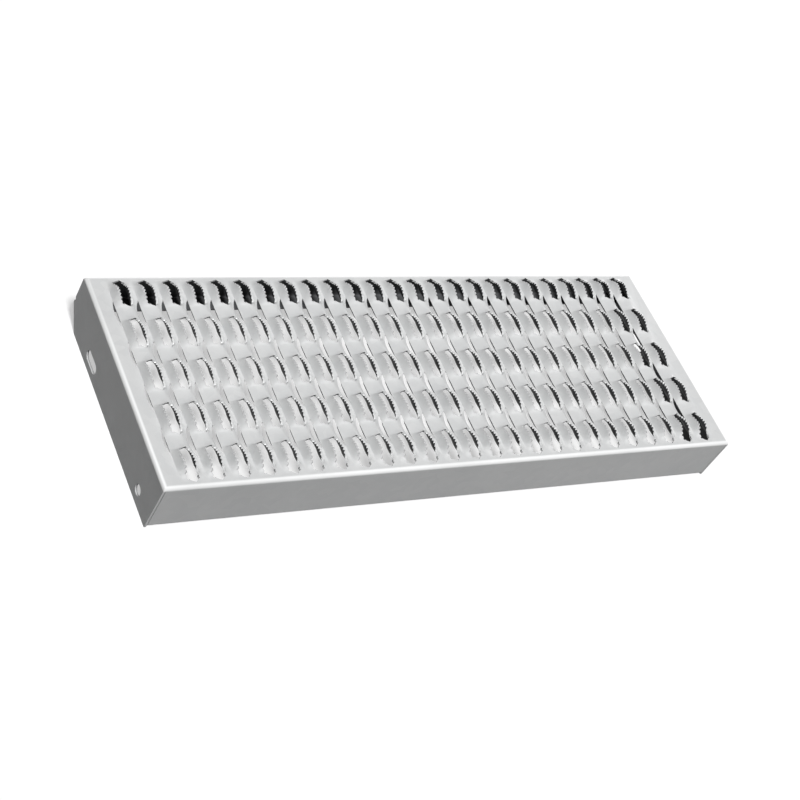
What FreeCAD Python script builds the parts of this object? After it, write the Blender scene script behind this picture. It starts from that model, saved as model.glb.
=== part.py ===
"""Grating stair tread: one steel sheet, slit and pressed into an open field, folded down on four sides.

Frame: millimetres, +X along the tread, -Y is the walking front, +Z up, the lowest edges stand on Z = 0.
"""
import FreeCAD, Part
import math
import os

Vec = FreeCAD.Vector

# Sheet
SHEET = 2.5
BEND_INSIDE = 3.0            # inner radius of every fold

# Overall size, over the folded faces and up to the plain rim
LENGTH = 822.0
WIDTH = 298.0
DEPTH = 70.0                 # front flange and end plates
REAR_DEPTH = 38.0            # rear flange
LIP_WIDTH = 22.0             # return lips under the front and rear flanges
SEAM_GAP = 0.8               # open corner seam between a flange and an end plate

# End plate outline and holes
REAR_CORNER_CUT = 26.0       # 45 degree cut at the lower rear corner
NOTCH_SIZE = 5.0             # bend relief at the rear edge, level with the rear lip
HOLE_DIAMETER = 14.0
SLOT_LENGTH = 32.0           # overall
HOLE_FROM_FRONT = 38.0       # round hole, behind the front face
HOLE_SPACING = 178.0         # round hole to slot
HOLE_HEIGHT = 16.0           # above the lower edge

# Slit pattern: ridges run along Y, crest slits lie at the rows and valley slits between the rows
ROW_PITCH = 60.3
COLUMN_PITCH = 31.1
CREST_SLIT = 43.4
VALLEY_SLIT = 42.0
MARGIN_STRIP = 8.0           # plain strip beside the first valley line
END_STRIP = 1.0              # plain strip past the outer crest slits
PLAIN_END = 20.0             # least plain deck at each end of the field

# Section across one ridge, from the valley line on its left: places and heights over the rim
RIDGE_X = 17.5
RIDGE_HEIGHT = 3.0
LEFT_EDGE_X = 6.2            # left edge of an open crest slit
LEFT_EDGE_HEIGHT = 11.5
RIGHT_EDGE_BACK = 9.1        # right edge of an open crest slit, back from the next valley line
RIGHT_EDGE_HEIGHT = 10.0
VALLEY_GAP = 6.2             # widest opening of a valley slit
MARGIN_GAP = 3.2             # the same beside the plain margin
VALLEY_LIFT = 0.5            # the valley line where it is not slit
LEFT_BULGE = (0.0, 0.5)      # swell of the left flank at a row and between rows
RIGHT_BULGE = (-4.6, 0.8)    # the same for the right flank, a steep wall under its lip at a row

SEW_TOLERANCE = 1e-4
SAME_HEIGHT = 1e-6

BEND_RADIUS = BEND_INSIDE + SHEET
HOLE_Y = HOLE_FROM_FRONT - WIDTH / 2
RIGHT_EDGE_X = COLUMN_PITCH - RIGHT_EDGE_BACK
COLUMNS = int((LENGTH - 2 * PLAIN_END) / COLUMN_PITCH)
ROWS = int((WIDTH - 2 * (BEND_RADIUS + END_STRIP) - CREST_SLIT) / ROW_PITCH) + 1
HALF_CREST = CREST_SLIT / 2
HALF_VALLEY = VALLEY_SLIT / 2
FIELD_X = COLUMNS * COLUMN_PITCH / 2
FIELD_Y = (ROWS - 1) * ROW_PITCH / 2 + HALF_CREST + END_STRIP


def lens(offset, half):
    """Opening of a slit, 1 at its middle and 0 from its ends on."""
    return max(0.0, 1.0 - (offset / half) ** 2)


def blunt_lens(offset, half):
    """The same for a slot with broad rounded ends."""
    return math.sqrt(max(0.0, 1.0 - (offset / half) ** 4))


def wave(offset, half):
    """Smooth rise, 1 at the middle and 0 from the ends on."""
    return (1 + math.cos(math.pi * min(1.0, abs(offset) / half))) / 2


def row_offset(y):
    """Distance along Y from the nearest row."""
    top_row = (ROWS - 1) / 2
    row = round(y / ROW_PITCH + top_row)
    row = min(max(row, 0), ROWS - 1)
    return y - (row - top_row) * ROW_PITCH


def ridge_state(y):
    """Valley opening, ridge fade and row weight at one Y."""
    offset = row_offset(y)
    beyond = abs(y) > (ROWS - 1) * ROW_PITCH / 2
    fade = wave(offset, HALF_CREST) if beyond else 1.0
    valley = 0.0 if beyond else lens(ROW_PITCH / 2 - abs(offset), HALF_VALLEY)
    return valley, fade, wave(offset, ROW_PITCH / 2)


def crest_point(y, side):
    """Ridge line, or one edge of an open crest slit: side is -1 on the left and 1 on the right."""
    offset = row_offset(y)
    valley, fade, row_weight = ridge_state(y)
    rise = min(fade, row_weight)
    middle = (LEFT_EDGE_HEIGHT + RIGHT_EDGE_HEIGHT) / 2
    spread = (RIGHT_EDGE_HEIGHT - LEFT_EDGE_HEIGHT) / 2
    edge_x = LEFT_EDGE_X if side < 0 else RIGHT_EDGE_X
    x = mixed(RIDGE_X, edge_x, blunt_lens(offset, HALF_CREST))
    z = RIDGE_HEIGHT * fade + (middle - RIDGE_HEIGHT) * rise + side * spread * lens(offset, HALF_CREST)
    return (x, z)


def flank(start, end, bulge, share):
    """Point and normal of a bowed line from start to end, both as (x, z)."""
    run_x, run_z = end[0] - start[0], end[1] - start[1]
    run = math.hypot(run_x, run_z)
    out_x, out_z = -run_z / run, run_x / run
    bow = bulge * 4 * share * (1 - share)
    point = (start[0] + run_x * share + out_x * bow, start[1] + run_z * share + out_z * bow)
    slope = bulge * 4 * (1 - 2 * share)
    along_x, along_z = run_x + out_x * slope, run_z + out_z * slope
    size = math.hypot(along_x, along_z)
    return point, (-along_z / size, along_x / size)


def mixed(first, second, weight):
    return first + (second - first) * weight


def unit(x, z):
    size = math.hypot(x, z)
    return (x / size, z / size)


def left_flank(y, share):
    """Section from the valley line up to the left edge of the crest."""
    valley, fade, row_weight = ridge_state(y)
    start = (0.0, VALLEY_LIFT * fade * (1 - valley))
    bulge = fade * mixed(LEFT_BULGE[1], LEFT_BULGE[0], row_weight)
    return flank(start, crest_point(y, -1), bulge, share)


def right_flank(y, share, last):
    """Section from the right edge of the crest down to the next valley line."""
    valley, fade, row_weight = ridge_state(y)
    end = (COLUMN_PITCH - VALLEY_GAP * valley, VALLEY_LIFT * fade * (1 - valley))
    if last:
        end = (COLUMN_PITCH, 0.0)
    bulge = fade * mixed(RIGHT_BULGE[1], RIGHT_BULGE[0], row_weight)
    return flank(crest_point(y, 1), end, bulge, share)


def margin_strip(y, share):
    """Plain strip left of the first valley line, with the first column's valley slits in its edge."""
    valley, fade, row_weight = ridge_state(y)
    edge_z = VALLEY_LIFT * fade * (1 - valley)
    return flank((-MARGIN_STRIP, 0.0), (-MARGIN_GAP * valley, edge_z), 0.0, share)


def shared_normal(own, other, opening):
    """Normal along a slit line: common to both sides where they join, each side's own where they part."""
    together = unit(own[0] + other[0], own[1] + other[1])
    part = min(1.0, 2 * opening)
    return unit(mixed(together[0], own[0], part), mixed(together[1], own[1], part))


def strip_point(kind, column, y, share):
    """Top point and thickness direction of a strip: 0 is the margin, 1 a left flank, 2 a right flank."""
    crest = lens(row_offset(y), HALF_CREST)
    valley = ridge_state(y)[0]
    last = column == COLUMNS - 1
    if kind == 0:
        point, normal = margin_strip(y, share)
        if share == 0:
            normal = (0.0, 1.0)
        if share == 1:
            normal = shared_normal(normal, left_flank(y, 0)[1], valley)
    elif kind == 1:
        point, normal = left_flank(y, share)
        if share == 0:
            before = margin_strip(y, 1)[1] if column == 0 else right_flank(y, 1, False)[1]
            normal = shared_normal(normal, before, valley)
        if share == 1:
            normal = shared_normal(normal, right_flank(y, 0, last)[1], crest)
    else:
        point, normal = right_flank(y, share, last)
        if share == 0:
            normal = shared_normal(normal, left_flank(y, 1)[1], crest)
        if share == 1 and last:
            normal = (0.0, 1.0)
        elif share == 1:
            normal = shared_normal(normal, left_flank(y, 0)[1], valley)
    base_x = column * COLUMN_PITCH - FIELD_X
    top = Vec(base_x + point[0], y, DEPTH + point[1])
    return top, top - Vec(normal[0], 0, normal[1]) * SHEET


THIRDS = (0.0, 1 / 3, 2 / 3, 1.0)


def through(points):
    """Poles of the cubic that passes through four points at even steps."""
    a, b, c, d = points
    return [a, (a * -5 + b * 18 - c * 9 + d * 2) * (1 / 6), (a * 2 - b * 9 + c * 18 - d * 5) * (1 / 6), d]


def patch_face(rows):
    """Face of a bicubic patch through a 4 by 4 grid of points."""
    across = [through(row) for row in rows]
    columns = [through([across[i][j] for i in range(4)]) for j in range(4)]
    surface = Part.BSplineSurface()
    surface.buildFromPolesMultsKnots(columns, [4, 4], [4, 4], [0, 1], [0, 1], False, False, 3, 3)
    return surface.toShape()


def edge_face(top, bottom):
    """Ruled cut face between the top and bottom edges of a strip."""
    poles = [[first, second] for first, second in zip(through(top), through(bottom))]
    surface = Part.BSplineSurface()
    surface.buildFromPolesMultsKnots(poles, [4, 4], [2, 2], [0, 1], [0, 1], False, False, 3, 1)
    return surface.toShape()


def stations():
    """Ends of every slit along Y, in order, with what is open in the span that starts there."""
    spans = [(-FIELD_Y, END_STRIP - FIELD_Y, False, False)]
    half_bond = ROW_PITCH / 2 - HALF_VALLEY
    for row in range(ROWS):
        centre = (row - (ROWS - 1) / 2) * ROW_PITCH
        spans.append((centre - HALF_CREST, centre - half_bond, True, row > 0))
        spans.append((centre - half_bond, centre, True, False))
        spans.append((centre, centre + half_bond, True, False))
        spans.append((centre + half_bond, centre + HALF_CREST, True, row < ROWS - 1))
        if row < ROWS - 1:
            spans.append((centre + HALF_CREST, centre + ROW_PITCH - HALF_CREST, False, True))
    spans.append((FIELD_Y - END_STRIP, FIELD_Y, False, False))
    return spans


def strip_faces(kind, column, span, ends):
    """Top, bottom and cut faces of one strip over one span of Y."""
    start, end, crest_open, valley_open = span
    grid = []
    for step in THIRDS:
        y = mixed(start, end, step)
        grid.append([strip_point(kind, column, y, share) for share in THIRDS])
    top = [[pair[0] for pair in row] for row in grid]
    bottom = [[pair[1] for pair in row] for row in grid]
    faces = [patch_face(top), patch_face(bottom)]
    last = kind == 2 and column == COLUMNS - 1
    left_cut = kind == 0 or (crest_open if kind == 2 else valley_open)
    right_cut = last or (crest_open if kind == 1 else valley_open)
    if left_cut:
        faces.append(edge_face([row[0] for row in top], [row[0] for row in bottom]))
    if right_cut:
        faces.append(edge_face([row[-1] for row in top], [row[-1] for row in bottom]))
    if ends[0]:
        faces.append(edge_face(top[0], bottom[0]))
    if ends[1]:
        faces.append(edge_face(top[-1], bottom[-1]))
    return faces


def pressed_field():
    """Solid of the slit and pressed part of the deck."""
    spans = stations()
    faces = []
    strips = [(0, 0)] + [(kind, column) for column in range(COLUMNS) for kind in (1, 2)]
    for kind, column in strips:
        for number, span in enumerate(spans):
            faces += strip_faces(kind, column, span, (number == 0, number == len(spans) - 1))
    shell = Part.makeCompound(faces)
    shell.sewShape(SEW_TOLERANCE)
    solid = Part.makeSolid(shell.Shells[0] if shell.ShapeType == "Compound" else shell)
    if solid.Volume < 0:
        solid.reverse()
    return solid


def box(x, y, z):
    """Box from three (low, high) pairs."""
    return Part.makeBox(x[1] - x[0], y[1] - y[0], z[1] - z[0], Vec(x[0], y[0], z[0]))


def domed_block(inset, radius):
    """Block of the tread's outline, set in by the sheet, with its four top edges rounded."""
    half_x, half_y, top = LENGTH / 2 - inset, WIDTH / 2 - inset, DEPTH - inset
    block = box((-half_x, half_x), (-half_y, half_y), (0, top))
    top_edges = [edge for edge in block.Edges if abs(edge.BoundBox.ZMin - top) < SAME_HEIGHT]
    return block.makeFillet(radius, top_edges)


def rim():
    """Plain deck with its rounded folds and a window for the pressed field."""
    bend_top = box((-LENGTH, LENGTH), (-WIDTH, WIDTH), (DEPTH - BEND_RADIUS, DEPTH))
    shell = domed_block(0, BEND_RADIUS).cut(domed_block(SHEET, BEND_INSIDE)).common(bend_top)
    window = box((-FIELD_X - MARGIN_STRIP, FIELD_X), (-FIELD_Y, FIELD_Y), (0, 2 * DEPTH))
    return shell.cut(window)


def flange(side, depth):
    """Front (-1) or rear (1) flange below its top fold, with its return lip."""
    reach = LENGTH / 2 - SHEET - SEAM_GAP
    low = DEPTH - depth
    outer = WIDTH / 2
    wall = box((-reach, reach), (outer - SHEET, outer), (low + BEND_RADIUS, DEPTH - BEND_RADIUS))
    lip = box((-reach, reach), (outer - LIP_WIDTH, outer - BEND_RADIUS), (low, low + SHEET))
    axis = Vec(-reach, outer - BEND_RADIUS, low + BEND_RADIUS)
    outside = Part.makeCylinder(BEND_RADIUS, 2 * reach, axis, Vec(1, 0, 0))
    inside = Part.makeCylinder(BEND_INSIDE, 2 * reach, axis, Vec(1, 0, 0))
    quarter = box((-reach, reach), (outer - BEND_RADIUS, outer), (low, low + BEND_RADIUS))
    bend = outside.cut(inside).common(quarter)
    piece = wall.fuse([lip, bend])
    return piece if side > 0 else piece.mirror(Vec(0, 0, 0), Vec(0, 1, 0))


def end_plate(side):
    """Left (-1) or right (1) end plate below its top fold, with its hole, slot, cut corner and bend relief."""
    outer = side * LENGTH / 2
    inner = outer - side * SHEET
    x = (min(outer, inner), max(outer, inner))
    half = WIDTH / 2
    plate = box(x, (-half, half), (0, DEPTH - BEND_RADIUS))
    corner = [Vec(x[0], half - REAR_CORNER_CUT, 0), Vec(x[0], half, REAR_CORNER_CUT), Vec(x[0], half, 0)]
    wedge = Part.Face(Part.makePolygon(corner + corner[:1])).extrude(Vec(SHEET, 0, 0))
    notch_z = DEPTH - REAR_DEPTH
    notch = [Vec(x[0], half - NOTCH_SIZE / 2, notch_z), Vec(x[0], half, notch_z + NOTCH_SIZE / 2),
             Vec(x[0], half, notch_z - NOTCH_SIZE / 2)]
    relief = Part.Face(Part.makePolygon(notch + notch[:1])).extrude(Vec(SHEET, 0, 0))
    along = Vec(1, 0, 0)
    hole = Part.makeCylinder(HOLE_DIAMETER / 2, SHEET, Vec(x[0], HOLE_Y, HOLE_HEIGHT), along)
    slot_y = HOLE_Y + HOLE_SPACING
    reach = (SLOT_LENGTH - HOLE_DIAMETER) / 2
    ends = [Part.makeCylinder(HOLE_DIAMETER / 2, SHEET, Vec(x[0], slot_y + shift, HOLE_HEIGHT), along)
            for shift in (-reach, reach)]
    radius = HOLE_DIAMETER / 2
    middle = box(x, (slot_y - reach, slot_y + reach), (HOLE_HEIGHT - radius, HOLE_HEIGHT + radius))
    return plate.cut([wedge, relief, hole, middle] + ends)


def tread_sheet():
    folded = rim().fuse([flange(-1, DEPTH), flange(1, REAR_DEPTH), end_plate(-1), end_plate(1)])
    return folded.fuse(pressed_field())


def main():
    os.makedirs("parts", exist_ok=True)
    sheet = tread_sheet()
    box_size = sheet.BoundBox
    print("tread_sheet", sheet.ShapeType, len(sheet.Solids), "solid", len(sheet.Faces), "faces",
          "volume", round(sheet.Volume), "valid", sheet.isValid())
    print("box", round(box_size.XLength, 2), round(box_size.YLength, 2), round(box_size.ZLength, 2))
    sheet.Solids[0].exportStep("parts/tread_sheet.step")


main()
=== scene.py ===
# Grating stair tread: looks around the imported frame, in metres
import math

import bpy
from mathutils import Matrix, Quaternion, Vector


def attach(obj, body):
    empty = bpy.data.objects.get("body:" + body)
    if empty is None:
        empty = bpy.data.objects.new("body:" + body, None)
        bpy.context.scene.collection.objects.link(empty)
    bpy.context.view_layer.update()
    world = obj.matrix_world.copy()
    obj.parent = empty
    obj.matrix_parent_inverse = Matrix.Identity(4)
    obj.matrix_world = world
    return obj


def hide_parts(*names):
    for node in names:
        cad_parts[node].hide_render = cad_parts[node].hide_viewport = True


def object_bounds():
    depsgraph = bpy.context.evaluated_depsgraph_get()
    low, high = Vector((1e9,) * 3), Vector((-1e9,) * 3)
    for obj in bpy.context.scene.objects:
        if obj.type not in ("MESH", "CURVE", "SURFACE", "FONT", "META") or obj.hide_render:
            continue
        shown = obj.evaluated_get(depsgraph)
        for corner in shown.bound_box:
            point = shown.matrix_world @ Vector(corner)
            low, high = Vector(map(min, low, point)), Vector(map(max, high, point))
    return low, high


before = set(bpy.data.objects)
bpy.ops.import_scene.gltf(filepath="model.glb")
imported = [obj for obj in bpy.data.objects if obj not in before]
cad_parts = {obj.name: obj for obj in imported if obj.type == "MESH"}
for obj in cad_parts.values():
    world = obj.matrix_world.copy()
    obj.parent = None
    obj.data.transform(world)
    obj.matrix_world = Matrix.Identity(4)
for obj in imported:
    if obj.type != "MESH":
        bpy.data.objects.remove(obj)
cadLow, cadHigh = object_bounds()
mm = 0.001
print("frame loaded", list(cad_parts))


def pickOnly(obj):
    bpy.ops.object.select_all(action="DESELECT")
    obj.select_set(True)
    bpy.context.view_layer.objects.active = obj


def applyModifier(obj, kind, **settings):
    pickOnly(obj)
    bpy.ops.object.modifier_add(type=kind)
    modifier = obj.modifiers[-1]
    for key, value in settings.items():
        setattr(modifier, key, value)
    bpy.ops.object.modifier_apply(modifier=modifier.name)


# Shader node groups that the finishes share
def newGroup(name, inputs, outputs):
    group = bpy.data.node_groups.new(name, "ShaderNodeTree")
    for label, kind, value in inputs:
        socket = group.interface.new_socket(name=label, in_out="INPUT", socket_type=kind)
        socket.default_value = value
    for label, kind in outputs:
        group.interface.new_socket(name=label, in_out="OUTPUT", socket_type=kind)
    start = group.nodes.new("NodeGroupInput")
    end = group.nodes.new("NodeGroupOutput")
    return group, start, end


def addNode(tree, kind, **settings):
    node = tree.nodes.new(kind)
    for key, value in settings.items():
        setattr(node, key, value)
    return node


def zincGroup():
    # faint spangle cells, a fine grain and slow cloudy drift, as masks round 0.5
    group, start, end = newGroup(
        "zincCoat",
        [("Spangle Scale", "NodeSocketFloat", 90.0), ("Grain Scale", "NodeSocketFloat", 1400.0),
         ("Cloud Scale", "NodeSocketFloat", 9.0)],
        [("Spangle", "NodeSocketFloat"), ("Grain", "NodeSocketFloat"), ("Cloud", "NodeSocketFloat")])
    place = addNode(group, "ShaderNodeTexCoord")
    cells = addNode(group, "ShaderNodeTexVoronoi", feature="F1")
    grain = addNode(group, "ShaderNodeTexNoise")
    cloud = addNode(group, "ShaderNodeTexNoise")
    split = addNode(group, "ShaderNodeSeparateColor")
    link = group.links.new
    link(place.outputs["Object"], cells.inputs["Vector"])
    link(place.outputs["Object"], grain.inputs["Vector"])
    link(place.outputs["Object"], cloud.inputs["Vector"])
    link(start.outputs["Spangle Scale"], cells.inputs["Scale"])
    link(start.outputs["Grain Scale"], grain.inputs["Scale"])
    link(start.outputs["Cloud Scale"], cloud.inputs["Scale"])
    link(cells.outputs["Color"], split.inputs["Color"])
    link(split.outputs["Red"], end.inputs["Spangle"])
    link(grain.outputs["Fac"], end.inputs["Grain"])
    link(cloud.outputs["Fac"], end.inputs["Cloud"])
    return group


zincCoat = zincGroup()


def newMaterial(name):
    material = bpy.data.materials.new(name)
    material.use_nodes = True
    shader = material.node_tree.nodes["Principled BSDF"]
    return material, material.node_tree, shader


def plug(tree, socket, value):
    # a socket takes another node's output or a set value
    if isinstance(value, bpy.types.NodeSocket):
        tree.links.new(value, socket)
    else:
        socket.default_value = value


def calc(tree, operation, *values):
    node = addNode(tree, "ShaderNodeMath", operation=operation)
    for socket, value in zip(node.inputs, values):
        plug(tree, socket, value)
    return node.outputs[0]


def blend(tree, mask, first, second):
    # first where the mask is 0, second where it is 1
    node = addNode(tree, "ShaderNodeMix", data_type="RGBA" if isinstance(second, tuple) else "FLOAT")
    sockets = [s for s in node.inputs if s.name in ("Factor", "A", "B") and s.enabled]
    for socket, value in zip(sockets, (mask, first, second)):
        plug(tree, socket, value)
    return [s for s in node.outputs if s.enabled][0]


# Galvanised sheet: pale satin grey with a faint spangle, with a painted highlight (a near-white colour)
# along the top folds and painted shade (a near-black colour) on its inner side, which looks into the hollow
zinc = {
    # the near-white third colour on the next line is a painted highlight along the top folds
    "dark": (0.57, 0.58, 0.585, 1), "pale": (0.68, 0.685, 0.685, 1), "foldHighlight": (0.96, 0.965, 0.965, 1),
    # the near-black colour on the next line is painted shade for the inner side, under the lips and in the
    # hollow
    "paintedShade": (0.09, 0.092, 0.095, 1),
    "specular": 0.25, "roughLow": 0.42, "roughHigh": 0.54, "spangle": 0.35,
    "bump": 0.05, "bumpHeight": 0.06 * mm,
    "inner": 2.4 * mm, "hollowTop": 64 * mm, "lean": 0.35, "underTilt": 0.05,
    "deck": 70 * mm, "foldRadius": 5.5 * mm, "highlightFrom": 0.3 * mm, "highlightTo": 2.6 * mm, "highlightLeast": 0.4,
}


def splitPlace(tree, kind):
    # X, Y and Z of a point on the sheet (Object) or of the way its face looks (Normal)
    place = addNode(tree, "ShaderNodeTexCoord")
    axes = addNode(tree, "ShaderNodeSeparateXYZ")
    tree.links.new(place.outputs[kind], axes.inputs[0])
    return axes.outputs


def paintedFoldHighlight(tree, cloud):
    # painted highlight: how far a point is round the fold between the deck and the faces turned down from
    # it, patchy by the cloud
    at = splitPlace(tree, "Object")
    pastX = calc(tree, "SUBTRACT", calc(tree, "ABSOLUTE", at["X"]), cadHigh[0] - zinc["foldRadius"])
    pastY = calc(tree, "SUBTRACT", calc(tree, "ABSOLUTE", at["Y"]), cadHigh[1] - zinc["foldRadius"])
    above = calc(tree, "SUBTRACT", at["Z"], zinc["deck"] - zinc["foldRadius"])
    turned = calc(tree, "MINIMUM", calc(tree, "MAXIMUM", pastX, pastY), above)
    mask = addNode(tree, "ShaderNodeMapRange", interpolation_type="SMOOTHSTEP")
    mask.inputs["From Min"].default_value = zinc["highlightFrom"]
    mask.inputs["From Max"].default_value = zinc["highlightTo"]
    tree.links.new(turned, mask.inputs["Value"])
    return calc(tree, "MULTIPLY", mask.outputs[0], calc(tree, "ADD", cloud, zinc["highlightLeast"]))


def paintedShadeMask(tree):
    # painted shade mask: 1 inside the folded faces where a face looks down, leans back under a lip, or lies
    # in the hollow, where shade falls
    at = splitPlace(tree, "Object")
    look = splitPlace(tree, "Normal")
    insideX = calc(tree, "LESS_THAN", calc(tree, "ABSOLUTE", at["X"]), cadHigh[0] - zinc["inner"])
    insideY = calc(tree, "LESS_THAN", calc(tree, "ABSOLUTE", at["Y"]), cadHigh[1] - zinc["inner"])
    tilt = calc(tree, "MULTIPLY_ADD", look["X"], zinc["lean"], look["Z"])
    below = calc(tree, "LESS_THAN", at["Z"], zinc["hollowTop"])
    under = calc(tree, "MAXIMUM", calc(tree, "LESS_THAN", tilt, zinc["underTilt"]), below)
    return calc(tree, "MULTIPLY", under, calc(tree, "MULTIPLY", insideX, insideY))


def galvanisedSheet():
    material, tree, shader = newMaterial("galvanised_sheet")
    coat = addNode(tree, "ShaderNodeGroup", node_tree=zincCoat)
    tone = calc(tree, "MULTIPLY_ADD", coat.outputs["Spangle"], zinc["spangle"], coat.outputs["Cloud"])
    colour = blend(tree, tone, zinc["dark"], zinc["pale"])
    # painted highlight: the top folds are lightened towards near white
    colour = blend(tree, paintedFoldHighlight(tree, coat.outputs["Cloud"]), colour, zinc["foldHighlight"])
    # painted shade: the inner side is darkened towards near black
    colour = blend(tree, paintedShadeMask(tree), colour, zinc["paintedShade"])
    rough = blend(tree, coat.outputs["Spangle"], zinc["roughLow"], zinc["roughHigh"])
    bump = addNode(tree, "ShaderNodeBump")
    bump.inputs["Strength"].default_value = zinc["bump"]
    bump.inputs["Distance"].default_value = zinc["bumpHeight"]
    tree.links.new(coat.outputs["Grain"], bump.inputs["Height"])
    tree.links.new(colour, shader.inputs["Base Color"])
    tree.links.new(rough, shader.inputs["Roughness"])
    tree.links.new(bump.outputs["Normal"], shader.inputs["Normal"])
    shader.inputs["Specular IOR Level"].default_value = zinc["specular"]
    return material


# Sheared steel: the brighter cut faces of the teeth
sheared = {"dark": (0.66, 0.665, 0.67, 1), "pale": (0.78, 0.785, 0.785, 1), "grainScale": 900,
           "metallic": 0.2, "rough": 0.34}


def shearedSteel():
    material, tree, shader = newMaterial("sheared_edge")
    coat = addNode(tree, "ShaderNodeGroup", node_tree=zincCoat)
    coat.inputs["Grain Scale"].default_value = sheared["grainScale"]
    colour = blend(tree, coat.outputs["Grain"], sheared["dark"], sheared["pale"])
    tree.links.new(colour, shader.inputs["Base Color"])
    shader.inputs["Roughness"].default_value = sheared["rough"]
    shader.inputs["Metallic"].default_value = sheared["metallic"]
    return material


sheetFinish = galvanisedSheet()
edgeFinish = shearedSteel()
print("finishes made")

# The folded sheet: a welded copy of the frame's own mesh, thinned to leave room for the teeth
sheet = {
    "node": "tread_sheet",
    "slot": "galvanised_steel",
    "weld": 0.002 * mm,
    "keepShare": 0.7,
    "smoothAngle": math.radians(40),
    "faceWeight": 50,
}


def copySheet():
    pickOnly(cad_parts[sheet["node"]])
    bpy.ops.object.duplicate()
    piece = bpy.context.view_layer.objects.active
    piece.name = "pressed_tread"
    piece.data.name = "pressed_tread"
    bpy.ops.object.mode_set(mode="EDIT")
    bpy.ops.mesh.select_all(action="SELECT")
    bpy.ops.mesh.remove_doubles(threshold=sheet["weld"])
    bpy.ops.object.mode_set(mode="OBJECT")
    bpy.ops.mesh.customdata_custom_splitnormals_clear()
    applyModifier(piece, "DECIMATE", ratio=sheet["keepShare"])
    piece.data.materials.clear()
    piece.data.materials.append(sheetFinish)
    return piece


# Slit lattice of the pressed field, on the same lines as the frame's solid
lattice = {
    "rows": 5, "columns": 25, "rowPitch": 60.3 * mm, "columnPitch": 31.1 * mm,
    "crestSlit": 43.4 * mm, "valleySlit": 42 * mm, "valleyLift": 0.5 * mm,
    "ridgeX": 17.5 * mm, "ridgeHeight": 3 * mm, "deck": 70 * mm, "thickness": 2.5 * mm,
}
fieldLeft = -lattice["columns"] * lattice["columnPitch"] / 2
middleRow = (lattice["rows"] - 1) / 2

# Both edges of a crest slit: side is where the top face looks, foot the valley line below the edge,
# valleyGap how far a valley slit draws that foot back, and the swells bow the flank between them
leftEdge = {"side": -1, "x": 6.2 * mm, "height": 11.5 * mm, "foot": 0.0, "valleyGap": 0.0,
            "rowSwell": 0.0, "ridgeSwell": 0.5 * mm}
rightEdge = {"side": 1, "x": 22 * mm, "height": 10 * mm, "foot": 31.1 * mm, "valleyGap": 6.2 * mm,
             "rowSwell": -4.6 * mm, "ridgeSwell": 0.8 * mm}
crestHeight = (leftEdge["height"] + rightEdge["height"]) / 2

# Teeth: notches sheared into both edges of every crest slit
teeth = {"count": 9, "pitch": 4.3 * mm, "width": 3.1 * mm, "depth": 2.4 * mm, "endDepth": 0.55,
         "above": 0.6 * mm, "beyondTop": 0.9 * mm, "beyondBottom": 0.5 * mm}


def wave(along, length):
    return (1 + math.cos(2 * math.pi * along / length)) / 2


def slitEdge(edge, row, along):
    # point of the edge, the way up the sheet to it, and how far the slit is open there
    spot = 2 * along / lattice["crestSlit"]
    opening = 1 - spot ** 2
    outside = along * (row - middleRow) > 0 and row in (0, lattice["rows"] - 1)
    fade = wave(along, lattice["crestSlit"]) if outside else 1.0
    weight = wave(along, lattice["rowPitch"])
    rise = min(fade, weight)
    x = lattice["ridgeX"] + (edge["x"] - lattice["ridgeX"]) * math.sqrt(1 - spot ** 4)
    z = lattice["ridgeHeight"] * fade + (crestHeight - lattice["ridgeHeight"]) * rise
    z += (edge["height"] - crestHeight) * opening
    between = (lattice["rowPitch"] - 2 * abs(along)) / lattice["valleySlit"]
    valley = 0.0 if outside else max(0.0, 1 - between ** 2)
    footX = edge["foot"] - edge["valleyGap"] * valley
    footZ = lattice["valleyLift"] * fade * (1 - valley)
    run = Vector((x - footX, 0, z - footZ))
    swell = fade * (edge["ridgeSwell"] + (edge["rowSwell"] - edge["ridgeSwell"]) * weight)
    up = run + Vector((-run.z, 0, run.x)).normalized() * 4 * swell * edge["side"]
    y = (row - middleRow) * lattice["rowPitch"] + along
    return Vector((fieldLeft + x, y, lattice["deck"] + z)), up.normalized(), opening


def notchPlace(edge, row, along):
    # local X runs along the slit, local Y points down into the sheet, local Z goes through it
    point, up, opening = slitEdge(edge, row, along)
    through = Vector((up.z, 0, -up.x))
    face = through * edge["side"]
    depth = teeth["depth"] * (teeth["endDepth"] + (1 - teeth["endDepth"]) * opening)
    tall = (depth + teeth["above"]) / 1.5          # a three-sided bar of radius 1 is 1.5 tall
    wide = teeth["width"] * (1 + teeth["above"] / depth) / math.sqrt(3)
    inner = lattice["thickness"] + teeth["beyondBottom"]
    centre = point + up * (tall - depth) + face * (teeth["beyondTop"] - inner) / 2
    place = Matrix((Vector((0, wide, 0)), -up * tall, through)).transposed().to_4x4()
    place.translation = centre
    return place


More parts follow.
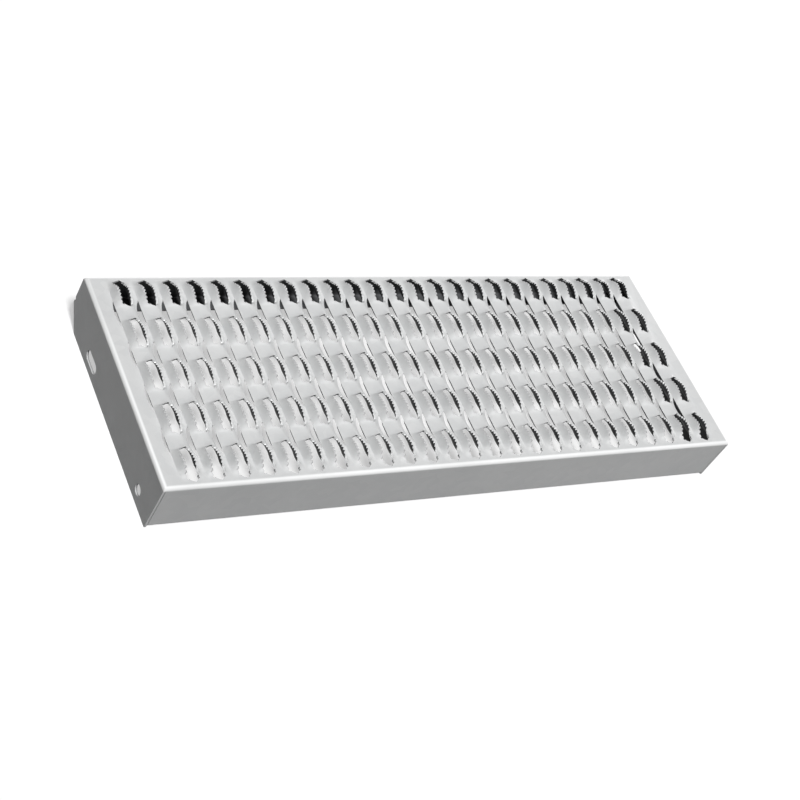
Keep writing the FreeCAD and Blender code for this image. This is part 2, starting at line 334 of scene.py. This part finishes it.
def notchBars():
    bpy.ops.object.select_all(action="DESELECT")
    length = lattice["thickness"] + teeth["beyondTop"] + teeth["beyondBottom"]
    bpy.ops.mesh.primitive_cylinder_add(vertices=3, radius=1, depth=length)
    bar = bpy.context.view_layer.objects.active
    bar.data.materials.append(edgeFinish)
    bars = []
    first = -(teeth["count"] - 1) / 2
    for row in range(lattice["rows"]):
        for edge in (leftEdge, rightEdge):
            for number in range(teeth["count"]):
                copy = bar.copy()
                copy.data = bar.data.copy()
                copy.data.transform(notchPlace(edge, row, (first + number) * teeth["pitch"]))
                bpy.context.collection.objects.link(copy)
                bars.append(copy)
    bpy.data.objects.remove(bar)
    bpy.ops.object.select_all(action="DESELECT")
    for copy in bars:
        copy.select_set(True)
    bpy.context.view_layer.objects.active = bars[0]
    bpy.ops.object.join()
    joined = bars[0]
    bpy.ops.object.mode_set(mode="EDIT")
    bpy.ops.mesh.select_all(action="SELECT")
    bpy.ops.mesh.normals_make_consistent(inside=False)
    bpy.ops.object.mode_set(mode="OBJECT")
    applyModifier(joined, "ARRAY", count=lattice["columns"], use_relative_offset=False,
                  use_constant_offset=True, constant_offset_displace=(lattice["columnPitch"], 0, 0))
    return joined


def cutTeeth(piece):
    bars = notchBars()
    print("notch bars", len(bars.data.polygons), "faces")
    applyModifier(piece, "BOOLEAN", operation="DIFFERENCE", solver="MANIFOLD", object=bars,
                  material_mode="TRANSFER")
    bpy.data.objects.remove(bars)


def softenSheet(piece):
    pickOnly(piece)
    bpy.ops.object.shade_smooth_by_angle(angle=sheet["smoothAngle"])
    applyModifier(piece, "WEIGHTED_NORMAL", keep_sharp=True, weight=sheet["faceWeight"])


tread = copySheet()
print("sheet copied", len(tread.data.vertices), "points", len(tread.data.polygons), "faces")
cutTeeth(tread)
print("teeth cut", len(tread.data.vertices), "points", len(tread.data.polygons), "faces")
softenSheet(tread)
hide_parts(sheet["node"])
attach(tread, "root")

# Floor and page-white surroundings: the floor is pale where it is seen and returns little light to the part
floorLook = {"size": 12.0, "seen": (0.52, 0.52, 0.52, 1), "bounce": (0.06, 0.06, 0.06, 1), "glow": 0.52}
surround = {"colour": (1, 1, 1, 1), "seen": 1.0, "light": 0.02}


def seenFactor(tree):
    # 1 for what the camera sees straight, in a reflection or through the part
    path = addNode(tree, "ShaderNodeLightPath")
    straight = calc(tree, "MAXIMUM", path.outputs["Is Camera Ray"], path.outputs["Is Glossy Ray"])
    return calc(tree, "MAXIMUM", straight, path.outputs["Is Transmission Ray"])


def makeFloor():
    bpy.ops.object.select_all(action="DESELECT")
    bpy.ops.mesh.primitive_plane_add(size=floorLook["size"], location=(0, 0, 0))
    floor = bpy.context.view_layer.objects.active
    floor.name = "studio_floor"
    material, tree, shader = newMaterial("floor_paper")
    shader.inputs["Roughness"].default_value = 1.0
    shader.inputs["Specular IOR Level"].default_value = 0.0
    shader.inputs["Emission Color"].default_value = (1, 1, 1, 1)
    seen = seenFactor(tree)
    tree.links.new(blend(tree, seen, floorLook["bounce"], floorLook["seen"]), shader.inputs["Base Color"])
    tree.links.new(calc(tree, "MULTIPLY", seen, floorLook["glow"]), shader.inputs["Emission Strength"])
    floor.data.materials.append(material)


def makeSurround():
    world = bpy.data.worlds.new("studio")
    bpy.context.scene.world = world
    world.use_nodes = True
    tree = world.node_tree
    back = tree.nodes["Background"]
    back.inputs["Color"].default_value = surround["colour"]
    level = addNode(tree, "ShaderNodeMapRange")
    level.inputs["To Min"].default_value = surround["light"]
    level.inputs["To Max"].default_value = surround["seen"]
    tree.links.new(seenFactor(tree), level.inputs["Value"])
    tree.links.new(level.outputs[0], back.inputs["Strength"])


makeFloor()
makeSurround()
print("floor and surroundings made")

# Soft studio lamps: an even key from high in front and a low fill from behind on the right
# spread is the key's angle across, or the width of the fill's disk
lamps = {
    "key": {"kind": "SUN", "from": (-0.3, -0.82, 2.1), "spread": math.radians(12), "power": 3.25},
    "fill": {"kind": "AREA", "from": (2.2, 1.6, 0.34), "spread": 0.6, "power": 18},
}


def makeLamps():
    aim = Vector((0, 0, lattice["deck"]))
    for name, lamp in lamps.items():
        bpy.ops.object.light_add(type=lamp["kind"], location=lamp["from"])
        light = bpy.context.view_layer.objects.active
        light.name = name
        light.data.energy = lamp["power"]
        if lamp["kind"] == "SUN":
            light.data.angle = lamp["spread"]
        else:
            light.data.shape = "DISK"
            light.data.size = lamp["spread"]
        light.rotation_euler = (aim - light.location).to_track_quat("-Z", "Y").to_euler()


# Camera at the photograph's viewing angle, turned about its own axis as the photograph is
shot = {
    "aim": Vector((-0.0403, -0.0237, 0.035)), "azimuth": math.radians(48.516),
    "elevation": math.radians(42.0), "roll": math.radians(34.0), "distance": 2.0269,
    "lens": 74.704, "sensor": 36,
}


def makeCamera():
    level = math.cos(shot["elevation"])
    ahead = Vector((level * math.sin(shot["azimuth"]), level * math.cos(shot["azimuth"]),
                    -math.sin(shot["elevation"])))
    bpy.ops.object.camera_add(location=shot["aim"] - ahead * shot["distance"])
    camera = bpy.context.view_layer.objects.active
    turn = ahead.to_track_quat("-Z", "Y") @ Quaternion((0, 0, 1), shot["roll"])
    camera.rotation_euler = turn.to_euler()
    camera.data.lens = shot["lens"]
    camera.data.sensor_width = shot["sensor"]
    camera.data.dof.use_dof = False
    bpy.context.scene.camera = camera


makeLamps()
makeCamera()
bpy.context.scene.view_settings.view_transform = "Standard"
print("lamps and camera made")
